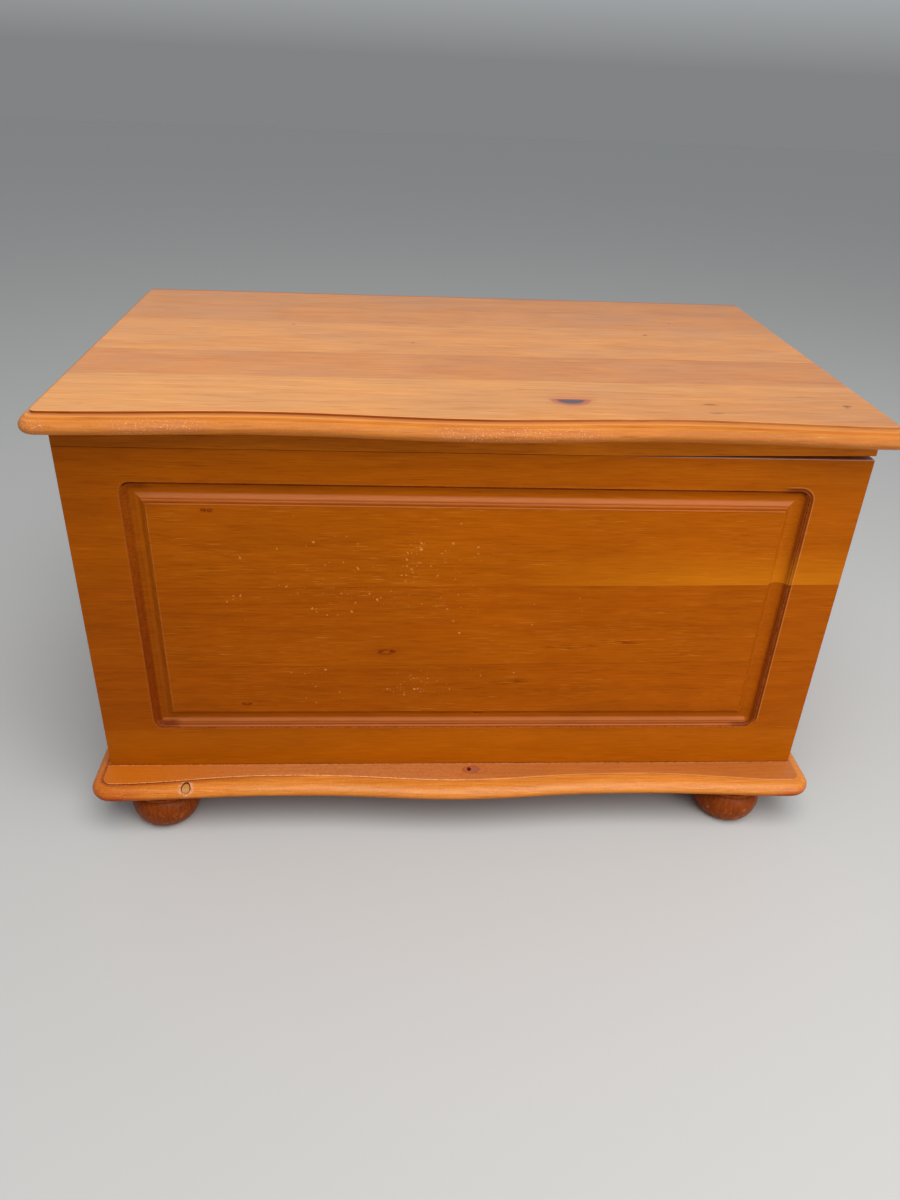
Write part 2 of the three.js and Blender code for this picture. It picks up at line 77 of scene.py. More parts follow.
# Half the groove's width, its inset from the panel's sides, foot and top, and its middle line
GROOVE_HALF, FROM_SIDE, FROM_FOOT, FROM_TOP = 12.25, 60, 57, 37.5
GROOVE_X = HALF_WIDTH - FROM_SIDE - GROOVE_HALF
GROOVE_LOW = PANEL_FOOT + FROM_FOOT + GROOVE_HALF
GROOVE_HIGH = PANEL_TOP - FROM_TOP - GROOVE_HALF
GROOVE_MIDDLE = (GROOVE_LOW + GROOVE_HIGH) / 2

# The plug in the base's nose: its middle, from the chest's side, the front and the base's top
PLUG_PLACE = (98 - HALF_WIDTH, FRONT_Y - 40.66, BASE_TOP - 4.18)
PLUG_RADIUS, PLUG_DEPTH, PLUG_TILT = 4.6, 11.0, math.radians(20)

# The gap that the solids leave at a glue line and under the lid
GLUE_GAP = 0.3

# The front's upper glue line, which climbs to the right, and the knots in the lid and the base
GLUE_LINE, GLUE_CLIMB = 327.0, 0.0152
LID_KNOT = (103, -192)
BASE_KNOT = (22, -248)


# Helpers

def middle_of(node):
    """The middle of a solid's box, in millimetres."""
    return [(low + high) / 2 / MM for low, high in zip(*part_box(node))]


def linear(code):
    """A linear colour from an sRGB hex value."""
    parts = [int(code[i:i + 2], 16) / 255 for i in (1, 3, 5)]
    return [c / 12.92 if c <= 0.04045 else ((c + 0.055) / 1.055) ** 2.4 for c in parts] + [1.0]


def add(tree, kind, inputs=None, stops=(), **settings):
    """Adds a node with its settings, its inputs filled or linked, and returns its first live output.

    Shader nodes go by their short names, such as Math or MapRange."""
    made = tree.nodes.new(kind if "Node" in kind else "ShaderNode" + kind)
    for name, value in settings.items():
        setattr(made, name, value)
    for key, value in (inputs or {}).items():
        if isinstance(value, bpy.types.NodeSocket):
            tree.links.new(value, made.inputs[key])
        else:
            made.inputs[key].default_value = value
    if stops:
        elements = made.color_ramp.elements
        while len(elements) < len(stops):
            elements.new(1.0)
        for element, (place, colour) in zip(elements, stops):
            element.position = place
            element.color = colour
    return next((socket for socket in made.outputs if socket.enabled), None)


def blank_material(name):
    """An empty material, its tree, and the place on the object in millimetres."""
    material = bpy.data.materials.new(name)
    material.use_nodes = True
    tree = material.node_tree
    tree.nodes.clear()
    place = add(tree, "TexCoord").node.outputs["Object"]
    return material, tree, add(tree, "VectorMath", {0: place, "Scale": 1 / MM}, operation="SCALE")


def surfaced(material, looks):
    """The material with its surface made of these looks."""
    surface = add(material.node_tree, "BsdfPrincipled", looks)
    add(material.node_tree, "OutputMaterial", {0: surface})
    return material


def in_scene(name, data):
    """A new object in the scene."""
    made = bpy.data.objects.new(name, data)
    bpy.context.scene.collection.objects.link(made)
    return made


def new_piece(name, mesh, body, material, replaced=()):
    """An object for a finished mesh in metres, riding on its body."""
    piece = in_scene(name, mesh)
    mesh.materials.clear()
    mesh.materials.append(material)
    mesh.polygons.foreach_set("use_smooth", [True] * len(mesh.polygons))
    mesh.set_sharp_from_angle(angle=SMOOTH_ANGLE)
    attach(piece, body)
    if replaced:
        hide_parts(*replaced)
    return piece


def eased_copy(node, material, ease=0.4):
    """A copy of a solid, its triangles merged into faces and its edges eased by so many millimetres."""
    shape = bmesh.new()
    shape.from_mesh(frame["nodes"][node].data)
    bmesh.ops.remove_doubles(shape, verts=shape.verts, dist=0.002 * MM)
    bmesh.ops.dissolve_limit(shape, angle_limit=math.radians(0.4), verts=shape.verts, edges=shape.edges)
    shape.verts.index_update()
    places = [v.co[:] for v in shape.verts]
    faces = [[v.index for v in face.verts] for face in shape.faces]
    shape.free()
    mesh = bpy.data.meshes.new(node + "_eased")
    mesh.from_pydata(places, [], faces)
    piece = new_piece(node + "_eased", mesh, frame["nodes"][node]["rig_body"], material, [node])
    bevel = piece.modifiers.new("eased_edges", "BEVEL")
    bevel.width = ease * MM
    bevel.segments = 2
    bevel.limit_method = "ANGLE"
    bevel.angle_limit = SMOOTH_ANGLE
    bevel.harden_normals = True
    return piece


# Masks and marks on wood. A board's own coordinates are millimetres along, across and through it. A
# helper that is given a socket adds its nodes to that socket's tree.

def noise(vector, size, detail=2.0, roughness=0.5):
    """Noise whose features are as long, wide and thick as size says, in millimetres."""
    tree = vector.id_data
    scaled = add(tree, "VectorMath", {0: vector, 1: [1 / s for s in size]}, operation="MULTIPLY")
    return add(tree, "TexNoise", {"Vector": scaled, "Scale": 1.0, "Detail": detail, "Roughness": roughness})


def ramp(value, start, end, full=1.0):
    """0 at start, growing smoothly to its full value at end. The end may be the lower of the two."""
    return add(value.id_data, "MapRange", {0: value, 1: start, 2: end, 4: full},
               interpolation_type="SMOOTHSTEP")


def band(value, centre, half, soft):
    """1 within half of the centre, fading to 0 over soft."""
    tree = value.id_data
    off = add(tree, "Math", {0: value, 1: centre}, operation="SUBTRACT")
    off = add(tree, "Math", {0: off}, operation="ABSOLUTE")
    return ramp(off, half + soft, half)


def away_from(board, along, across, half_length, half_width):
    """Distance from a place on the face, 1 at the edge of an ellipse of that size."""
    tree = board.id_data
    away = add(tree, "VectorMath", {0: board, 1: (along, across, 0)}, operation="SUBTRACT")
    away = add(tree, "VectorMath", {0: away, 1: (1 / half_length, 1 / half_width, 0)}, operation="MULTIPLY")
    return add(tree, "VectorMath", {0: away}, operation="LENGTH").node.outputs["Value"]


def times(*values):
    """The product of all the masks."""
    product = values[0]
    for value in values[1:]:
        product = add(product.id_data, "Math", {0: product, 1: value}, operation="MULTIPLY")
    return product


def largest(*values):
    """The largest of all the masks."""
    most = values[0]
    for value in values[1:]:
        most = add(most.id_data, "Math", {0: most, 1: value}, operation="MAXIMUM")
    return most


def tinted(colour, code, *masks, blend="MIX"):
    """The colour turned towards another one where the masks meet."""
    return add(colour.id_data, "Mix", {0: times(*masks), 6: colour, 7: linear(code)}, data_type="RGBA",
               blend_type=blend)


def darkened(colour, code, *masks):
    """The colour multiplied by another one where the masks meet."""
    return tinted(colour, code, *masks, blend="MULTIPLY")


# Stained pine

def pine(name, order, tones, boards, tilt=0.0, knots=(), ring=7.0, contrast=0.13, gloss=0.34, sheen=0.3,
         fibre_mm=1.7, fibre_long=22, streaky=0.12, dashes=0.16, marks=None):
    """Edge-glued pine, stained and lacquered.

    order says which of the object's axes run along the grain, across the boards and through them. Each
    board is cut from a log of its own, whose rings are cylinders round its pith, so that end grain, faces
    and mouldings agree. boards are (start across in mm, tint), and knots (along, across, half length,
    half width, lift of the rings). marks adds what is special to one board."""
    draw = random.Random(name)
    material, tree, place = blank_material(name)
    axes = add(tree, "SeparateXYZ", {0: place}).node.outputs
    board = add(tree, "CombineXYZ", {i: axes[axis] for i, axis in enumerate(order)})
    along, across, _ = add(tree, "SeparateXYZ", {0: board}).node.outputs
    level = add(tree, "Math", {0: along, 1: -tilt, 2: across}, operation="MULTIPLY_ADD")

    # Which board this is, its tint and where its pith lies
    low, high = boards[0][0], boards[-1][0]
    share = add(tree, "MapRange", {0: level, 1: low, 2: high})
    tints, piths = [], []
    for (start, tint), (end, _) in zip(boards, boards[1:]):
        stop = (start - low) / (high - low)
        pith_across = (start + end) / 2 + draw.uniform(-0.5, 0.5) * (end - start) - low
        tints.append((stop, linear(tint)))
        pith = (draw.random(), pith_across / (high - low), draw.choice((0.12, 0.2, 0.85, 0.93)), 1)
        piths.append((stop, pith))
    tint = add(tree, "ValToRGB", {0: share}, tints)
    tint.node.color_ramp.interpolation = "CONSTANT"
    pith = add(tree, "ValToRGB", {0: share}, piths)
    pith.node.color_ramp.interpolation = "CONSTANT"
    reach, start = (900, high - low, 200), (0, low, -100)
    centre = add(tree, "VectorMath", {0: pith, 1: reach, 2: start}, operation="MULTIPLY_ADD")
    local = add(tree, "VectorMath", {0: board, 1: centre}, operation="SUBTRACT")

    # Rings, bent by the tree's slow wander and by its knots. Late wood darkens each one before it ends.
    wander = noise(local, (420, 120, 120)).node.outputs["Color"]
    wander_mm = 34
    bent = add(tree, "VectorMath", {0: wander, 1: (0, wander_mm, wander_mm), 2: local},
               operation="MULTIPLY_ADD")
    bent = add(tree, "VectorMath", {0: bent, 1: (0, 1, 1)}, operation="MULTIPLY")
    radius = add(tree, "VectorMath", {0: bent}, operation="LENGTH").node.outputs["Value"]
    cores = [away_from(board, *knot[:4]) for knot in knots]
    for knot, away in zip(knots, cores):
        swell = ramp(away, 5.0, 0.0, knot[4])
        radius = add(tree, "Math", {0: radius, 1: swell}, operation="ADD")
    turns = add(tree, "Math", {0: radius, 1: 1 / ring}, operation="MULTIPLY")
    phase = add(tree, "Math", {0: turns}, operation="FRACT")
    ending = add(tree, "MapRange", {0: phase, 1: 0.88, 3: 1.0, 4: 0.0})
    late = times(ramp(phase, 0.2, 0.9), ending)

    # Streaks of stain 5 mm wide, and fibres and short dashes at least twice as coarse as real ones, to show
    streak = noise(local, (220, 5, 5), 4.0, 0.6)
    fibre = noise(local, (fibre_long * fibre_mm, fibre_mm, fibre_mm), 2.0, 0.6)
    dash_mm = 0.9 * fibre_mm
    dark_dash = ramp(noise(local, (15 * dash_mm, dash_mm, dash_mm), 1.0), 0.6, 0.72)
    shifted = add(tree, "VectorMath", {0: local, 1: (500, 500, 500)}, operation="ADD")
    pale_dash = ramp(noise(shifted, (34, 1.4, 1.4), 1.0), 0.62, 0.74)
    depth = 0.5
    for pattern, weight in ((late, contrast), (streak, streaky), (fibre, 0.75), (dark_dash, dashes),
                            (pale_dash, -0.16)):
        depth = add(tree, "Math", {0: pattern, 1: weight, 2: depth}, operation="MULTIPLY_ADD")
    depth = add(tree, "MapRange", {0: depth, 1: 0.5, 2: 1.45})
    stops = [(i / (len(tones) - 1), linear(tone)) for i, tone in enumerate(tones)]
    colour = add(tree, "ValToRGB", {0: depth}, stops)
    colour = add(tree, "Mix", {0: 1.0, 6: colour, 7: tint}, data_type="RGBA", blend_type="MULTIPLY")

    # Clouds where the stain took more or less
    cloud = noise(local, (130, 55, 55), 3.0, 0.55)
    value = add(tree, "MapRange", {0: cloud, 1: 0.3, 2: 0.7, 3: 0.93, 4: 1.07})
    colour = add(tree, "HueSaturation", {"Value": value, "Color": colour})

    # Knots: a lens with a dark rim and a few dark cracks, in a faint halo
    for away in cores:
        colour = tinted(colour, "#8a3a04", ramp(away, 2.4, 0.6, 0.35))
        rim = band(away, 0.85, 0.22, 0.3)
        flaw = ramp(noise(board, (7, 2, 2)), 0.35, 0.55, 0.9)
        colour = tinted(colour, "#6a1f04", rim, flaw)

    # Glue lines between the boards
    for start, _ in boards[1:-1]:
        colour = tinted(colour, "#5a2606", band(level, start, 0.2, 0.7), 0.25)

    rough = add(tree, "MapRange", {0: cloud, 1: 0.3, 2: 0.7, 3: gloss - 0.05, 4: gloss + 0.09})
    if marks:
        colour, rough, sheen = marks(tree, board, colour, rough, sheen)
    lift = add(tree, "Math", {0: late, 1: 0.4, 2: fibre}, operation="MULTIPLY_ADD")
    bump = add(tree, "Bump", {"Strength": 0.3, "Distance": 0.1 * MM, "Height": lift})
    return surfaced(material, {"Base Color": colour, "Roughness": rough, "Specular IOR Level": sheen,
                               "Normal": bump})


def groove_runs(tree, board):
    """Distance outwards from the groove's middle line, and masks for its left, right, top and low runs."""
    along, across, _ = add(tree, "SeparateXYZ", {0: board}).node.outputs
    place = add(tree, "VectorMath", {0: board, 1: (0, GROOVE_MIDDLE, 0)}, operation="SUBTRACT")
    place = add(tree, "VectorMath", {0: place, 1: (1, 1, 0)}, operation="MULTIPLY")
    folded = add(tree, "VectorMath", {0: place}, operation="ABSOLUTE")
    reach = (GROOVE_X, GROOVE_HIGH - GROOVE_MIDDLE, 0)
    corner = add(tree, "VectorMath", {0: folded, 1: reach}, operation="SUBTRACT")
    past = add(tree, "VectorMath", {0: corner, 1: (0, 0, 0)}, operation="MAXIMUM")
    past = add(tree, "VectorMath", {0: past}, operation="LENGTH").node.outputs["Value"]
    corner_x, corner_z, _ = add(tree, "SeparateXYZ", {0: corner}).node.outputs
    short = add(tree, "Math", {0: largest(corner_x, corner_z), 1: 0.0}, operation="MINIMUM")
    out = add(tree, "Math", {0: past, 1: short}, operation="ADD")

    # The uprights' masks set in a little inside them, and the level runs end at the mitre
    begin, full = GROOVE_X - 22.75, GROOVE_X - 7.75
    left, right = (ramp(along, side * begin, side * full) for side in (-1, 1))
    level = add(tree, "Math", {0: corner_z, 1: corner_x}, operation="GREATER_THAN")
    upper = add(tree, "Math", {0: across, 1: GROOVE_MIDDLE}, operation="GREATER_THAN")
    top = times(level, upper)
    low = add(tree, "Math", {0: level, 1: top}, operation="SUBTRACT")
    return out, left, right, top, low


# Painted highlights and shade along the groove's level runs, as (place outwards, half width, fade,
# strength).
# A strength above 0 is a pink painted highlight where a wall faces up, and below 0 it is painted shade.
TOP_LINES = [(-4.6, 0.8, 3.4, 0.8), (-7.8, 0.25, 0.4, -0.35), (-8.9, 0.3, 0.5, 0.4),
             (-10.7, 0.5, 0.5, -0.35), (-12.2, 0.3, 0.4, 0.5), (-13.1, 0.15, 0.3, -0.4),
             (11.0, 0.9, 0.7, -0.9)]
LOW_LINES = [(3.8, 1.0, 3.0, 0.6), (6.6, 0.2, 0.5, -0.2), (7.7, 0.3, 0.4, 0.3), (8.7, 0.2, 0.4, -0.25),
             (10.5, 0.6, 0.6, 0.4), (12.2, 0.3, 0.4, -0.45), (-11.4, 0.7, 0.6, -0.4)]


def groove_marks(tree, board, colour):
    """Painted light and shade in the groove, pooled stain and worn arrises. It also gives the distance
    outwards.
    """
    _, across, _ = add(tree, "SeparateXYZ", {0: board}).node.outputs
    out, left, right, top_run, low_run = groove_runs(tree, board)
    grit = noise(board, (4, 2, 4), 3.0, 0.7)
    speck = ramp(grit, 0.42, 0.6)
    inside = band(out, 0.0, GROOVE_HALF - 0.6, 1.0)

    # Painted light and shade on the level runs, patchy along them: painted shade that tones down the low
    # run's lit outer wall, then the lines listed above
    patchy_light = add(tree, "MapRange", {0: noise(board, (40, 2, 2), 3.0, 0.7), 1: 0.3, 2: 0.6, 3: 0.7})
    colour = darkened(colour, "#d8cdbf", low_run, band(out, 8.5, 2.5, 2.5), 0.8)
    for run, lines in ((top_run, TOP_LINES), (low_run, LOW_LINES)):
        for centre, half, fade, strength in lines:
            change, code = (tinted, "#c87848") if strength > 0 else (darkened, "#96541c")
            line = band(out, centre, half, fade)
            colour = change(colour, code, line, run, patchy_light, abs(strength))

    # Painted shade on the uprights' outer walls, more of it lower down; on the left one it is partly stain,
    # which crumbles
    wall = ramp(out, 2.0, 5.5)
    lower_down = add(tree, "MapRange", {0: across, 1: 420, 2: 220, 3: 0.25, 4: 0.55})
    colour = darkened(colour, "#f2f2e0", left, band(out, 0.0, 5.0, 4.0))
    colour = darkened(colour, "#b07448", inside, left, wall, lower_down)
    colour = darkened(colour, "#a86448", inside, left, wall, speck, 0.3)
    # Painted light on the left upright's inner wall, which faces away from the lamps
    colour = tinted(colour, "#d36e14", left, band(out, -6.3, 3.3, 2.0), 0.15)
    crumbs = ramp(grit, 0.55, 0.65)
    colour = tinted(colour, "#7c2c08", left, band(out, 4.0, 3.0, 3.0), crumbs, 0.25)
    # Painted shade on the right upright's outer wall
    colour = darkened(colour, "#9a5c30", inside, right, ramp(out, 6.0, 10.0), 0.6)

    # The right upright's painted wall shade carries out over its arris, but not at the lower corner, with a
    # thin painted highlight beyond
    beside = times(right, ramp(across, GROOVE_LOW - 10, GROOVE_LOW + 4))
    colour = darkened(colour, "#8c5428", beside, band(out, GROOVE_HALF + 1.8, 1.8, 0.7), 0.7)
    colour = tinted(colour, "#dc9a58", beside, band(out, GROOVE_HALF + 4.5, 0.3, 0.6), 0.25)
    # Painted shade, speckled, in the corner at the field's step on the left upright
    fillet = band(out, -0.2 - GROOVE_HALF, 0.25, 0.4)
    colour = darkened(colour, "#9a5c30", fillet, left, speck, 0.7)

    # Arrises a little lighter in patches: partly wear, partly painted highlight
    worn = ramp(grit, 0.35, 0.6)
    colour = tinted(colour, "#d0824a", band(out, GROOVE_HALF + 0.3, 0.4, 0.7), worn, 0.2)
    colour = tinted(colour, "#e09450", band(out, -GROOVE_HALF - 1.1, 0.3, 0.5), left, worn, 0.35)
    return colour, out


# Clusters of chips, as (along, height, half length, half height, how crowded)
CHIP_CLUSTERS = [(-62, 366, 14, 40, 0.9), (-112, 312, 66, 18, 0.3), (-150, 330, 60, 50, 0.12),
                 (-262, 305, 14, 20, 0.35), (-60, 190, 44, 22, 0.42), (-170, 190, 60, 30, 0.14),
                 (-10, 330, 34, 70, 0.16), (-180, 360, 80, 60, 0.05), (0, 300, 300, 130, 0.008)]
CHIP_CELL = 4.0


def chipped(tree, board, ragged, colour, field):
    """Chips in clusters, at most one in each cell, and thin scratches."""
    crowd = largest(*(times(ramp(away_from(board, *cluster), 1.2, 0.4), crowded)
                      for *cluster, crowded in CHIP_CLUSTERS))
    cells = add(tree, "TexVoronoi", {"Vector": ragged, "Scale": 1 / CHIP_CELL}, voronoi_dimensions="2D").node
    red, green, blue = add(tree, "SeparateXYZ", {0: cells.outputs["Color"]}).node.outputs
    chosen = add(tree, "Math", {0: red, 1: crowd}, operation="LESS_THAN")
    size = add(tree, "Math", {0: green, 1: 4.0}, operation="POWER")
    size = add(tree, "MapRange", {0: size, 3: 0.09, 4: 0.42})
    worth = add(tree, "MapRange", {0: blue, 3: 0.12, 4: 0.65})
    chip = add(tree, "Math", {0: cells.outputs["Distance"], 1: size}, operation="LESS_THAN")
    colour = tinted(colour, "#e0964e", chosen, chip, field, worth)
    scratch = ramp(noise(board, (22, 0.9, 3), 0.0), 0.7, 0.78, 0.3)
    where = ramp(noise(board, (110, 50, 50)), 0.42, 0.58)
    return tinted(colour, "#d88a34", scratch, where, field)


# Patches of curly figure, as (along, height, half length, half height)
CURLY_PATCHES = [(130, 248, 40, 6), (188, 256, 34, 6), (62, 198, 30, 5)]


def front_marks(tree, board, colour, rough, sheen):
    """The groove, chips, painted shade towards the left, curly figure and painted light on the top arris."""
    along, across, through = add(tree, "SeparateXYZ", {0: board}).node.outputs
    colour, out = groove_marks(tree, board, colour)
    field = add(tree, "Math", {0: out, 1: -GROOVE_HALF}, operation="LESS_THAN")
    wobble = noise(board, (1.6, 1.6, 1.6), 2.0, 0.7).node.outputs["Color"]
    ragged = add(tree, "VectorMath", {0: wobble, 1: (5, 4, 0), 2: board}, operation="MULTIPLY_ADD")
    colour = chipped(tree, board, ragged, colour, field)

    # Painted shade deepens the colour towards the left; the front is lighter and more orange along its foot
    colour = darkened(colour, "#ece9e6", add(tree, "MapRange", {0: along, 1: -60, 2: -430}))
    colour = darkened(colour, "#f6f4f0", ramp(across, 105, 150))
    foot = add(tree, "MapRange", {0: across, 1: 128, 2: 118, 4: 0.09})
    colour = tinted(colour, "#dc8414", foot)

    # A faint line that wanders down across the grain
    path = add(tree, "MapRange", {0: along, 1: -360, 2: -140, 3: 391, 4: 321},
               interpolation_type="SMOOTHSTEP")
    off_path = add(tree, "Math", {0: across, 1: path}, operation="SUBTRACT")
    stretch = band(along, -300, 110, 50)
    colour = darkened(colour, "#a86a34", band(off_path, 0.0, 0.5, 1.0), stretch, 0.09)

    # Dark curly figure low down on the right, with a gleam between its lines
    curly = noise(board, (20, 1.6, 3), 3.0, 0.6)
    for place in CURLY_PATCHES:
        figure = ramp(away_from(ragged, *place), 1.1, 0.3, 0.55)
        colour = darkened(colour, "#a05c28", figure, ramp(curly, 0.5, 0.62), field)
        colour = tinted(colour, "#cc7c20", figure, ramp(curly, 0.48, 0.38), field, 0.6)

    # Painted light: a pale line on the top arris, where the lid's rail stands off it and light gets in
    edge = times(ramp(across, PANEL_TOP - 0.6, PANEL_TOP - 0.3), ramp(along, 130, 300))
    colour = tinted(colour, "#c8b0a8", edge, band(through, FRONT_Y + 0.5, 1.8, 1.5), 0.6)

    # The top board is lighter along its glue line towards the right
    height = add(tree, "Math", {0: along, 1: -GLUE_CLIMB, 2: across}, operation="MULTIPLY_ADD")
    above = add(tree, "Math", {0: height, 1: GLUE_LINE}, operation="GREATER_THAN")
    near = add(tree, "MapRange", {0: height, 1: GLUE_LINE, 2: GLUE_LINE + 45, 3: 0.28, 4: 0.0})
    colour = tinted(colour, "#e08c14", above, near, ramp(along, 0, 300))
    return colour, rough, sheen


# Small dents in the lid, as (along, across, half length, half width, strength)
LID_DENTS = [(253, -199, 12, 4, 0.7), (252, -227, 12, 4, 0.6), (406, -195, 8, 4, 0.8),
             (404, -197, 3, 9, 0.7), (-215, 95, 3, 3, 0.8), (250, 85, 5, 4, 0.9), (-60, 20, 4, 4, 0.6),
             (300, 150, 3, 3, 0.7)]


def lid_marks(tree, board, colour, rough, sheen):
    """Painted shade and dirt under the arris, painted shade on nose and top, scuffs, a sliced knot and small
    dents.
    """
    along, across, through = add(tree, "SeparateXYZ", {0: board}).node.outputs
    grit = noise(board, (3, 3, 3), 3.0, 0.7)
    below = add(tree, "Math", {0: LID_TOP, 1: through}, operation="SUBTRACT")

    # Painted shade and some dirt in the step, less towards the right, then the fillet, and painted shade on
    # the nose down to its foot, which tones down its highlight
    deep = add(tree, "MapRange", {0: along, 1: -60, 2: 320, 3: 0.9, 4: 0.5})
    colour = darkened(colour, "#9c5a10", band(below, 1.9, 1.1, 0.5), deep)
    mould = ramp(below, 0.6, 1.2)
    sheen = add(tree, "MapRange", {0: mould, 3: sheen, 4: 0.1})
    colour = darkened(colour, "#f6e7bc", mould, ramp(below, 2.6, 3.4))
    colour = tinted(colour, "#e8a05c", band(below, 3.3, 0.3, 0.4), 0.25)
    colour = darkened(colour, "#dca468", band(below, 4.4, 0.4, 0.6), 0.45)
    colour = darkened(colour, "#e8dcda", band(below, 11, 3.5, 3.5))
    colour = darkened(colour, "#f6e4a8", ramp(below, 14, 19))

    # The front nose is scuffed dull in patches, with bright specks
    patches = largest(band(along, -313, 25, 40), band(along, 42, 60, 50),
                      band(along, -436, 10, 16), 0.2)
    front = add(tree, "Math", {0: across, 1: -200.0}, operation="LESS_THAN")
    sand = ramp(noise(board, (2.4, 1.8, 1.8), 2.0, 0.7), 0.45, 0.6)
    scuffed = times(band(below, 12, 5, 4), sand, patches, front)
    colour = tinted(colour, "#a8684c", scuffed, 0.5)
    bright = ramp(noise(board, (1.6, 1.4, 1.4), 1.0), 0.62, 0.7)
    colour = tinted(colour, "#f0b488", band(below, 12, 6, 3), bright, patches, front, 0.5)
    rough = add(tree, "Math", {0: scuffed, 1: 0.2, 2: rough}, operation="MULTIPLY_ADD")

    # Painted shade towards the right and in the near corner, and a darker line along the back edge
    colour = darkened(colour, "#eeebe8", add(tree, "MapRange", {0: along, 1: -440, 2: 440}))
    corner = times(ramp(across, -90, -220), ramp(along, -200, 300))
    on_top = add(tree, "Math", {0: 1.0, 1: mould}, operation="SUBTRACT")
    colour = darkened(colour, "#f4eeec", corner, on_top)
    colour = darkened(colour, "#c09878", ramp(across, BACK_Y - 7, BACK_Y - 3, 0.7))

    # A knot sliced to a half moon, its straight side to the back, with a crack on either side
    top = add(tree, "Math", {0: below, 1: 0.2}, operation="LESS_THAN")
    knot_x, knot_y = LID_KNOT
    away = away_from(board, knot_x, knot_y, 17, 15)
    nearer = add(tree, "Math", {0: across, 1: knot_y}, operation="LESS_THAN")
    colour = tinted(colour, "#b85c3a", ramp(away, 1.9, 0.8, 0.35), top)
    colour = tinted(colour, "#a04c34", band(away, 1.02, 0.14, 0.25), nearer, top, 0.7)
    colour = tinted(colour, "#3f3c46", ramp(away, 1.0, 0.75, 0.95), nearer, top)
    crack = away_from(board, knot_x + 3, knot_y + 0.4, 31, 2.0)
    colour = tinted(colour, "#7c4430", ramp(crack, 1.0, 0.6, 0.8), top)
    for *place, strength in LID_DENTS:
        dent = ramp(away_from(board, *place), 1.0, 0.2, strength)
        colour = tinted(colour, "#6e3418", dent, top, ramp(grit, 0.25, 0.5))
    return colour, rough, sheen


def from_plug_axis(board):
    """Distance from the plug's tilted axis, and the height above it."""
    tree = board.id_data
    away = add(tree, "VectorMath", {0: board, 1: PLUG_PLACE}, operation="SUBTRACT")
    away = add(tree, "VectorRotate", {"Vector": away, "Axis": (1, 0, 0), "Angle": PLUG_TILT},
               rotation_type="AXIS_ANGLE")
    away = add(tree, "VectorMath", {0: away, 1: (1, 0, 1)}, operation="MULTIPLY")
    _, _, height = add(tree, "SeparateXYZ", {0: away}).node.outputs
    return add(tree, "VectorMath", {0: away}, operation="LENGTH").node.outputs["Value"], height


def base_knot_marks(tree, board, colour, flat):
    """A small knot with curly rings to its right."""
    wobble = noise(board, (5, 4, 4), 2.0).node.outputs["Color"]
    curl = add(tree, "VectorMath", {0: wobble, 1: (6, 6, 0), 2: board}, operation="MULTIPLY_ADD")
    x, y = BASE_KNOT
    for off, length, width, strength, tone in [(-3, 11, 7, 0.6, "#983c1c"), (3, 15, 9, 0.4, "#a84c24")]:
        ring = band(away_from(curl, x + off, y, length, width), 0.85, 0.1, 0.15)
        colour = tinted(colour, tone, ring, flat, strength)
    halo = ramp(away_from(curl, x, y, 10, 7), 1.1, 0.2, 0.7)
    colour = tinted(colour, "#8c4c44", halo, flat)
    heart = ramp(away_from(board, x - 8.5, y - 2, 3.4, 4.6), 1.0, 0.6, 0.95)
    return tinted(colour, "#30100a", heart, flat)


def plug_marks(tree, board, colour, grit):
    """Pale glue smeared round the plug, and the dark joint round it, which is faint below."""
    _, across, _ = add(tree, "SeparateXYZ", {0: board}).node.outputs
    from_axis, height = from_plug_axis(board)
    front = add(tree, "Math", {0: across, 1: FRONT_Y - 31}, operation="LESS_THAN")
    glue = ramp(from_axis, PLUG_RADIUS + 7, PLUG_RADIUS + 1, 0.75)
    colour = tinted(colour, "#d8a078", glue, front, ramp(grit, 0.42, 0.58))
    faint_below = add(tree, "MapRange", {0: height, 1: -4, 2: -1, 3: 0.15})
    joint = band(from_axis, PLUG_RADIUS + 0.7, 0.45, 0.4)
    return tinted(colour, "#3c1a04", joint, front, faint_below, 0.95)


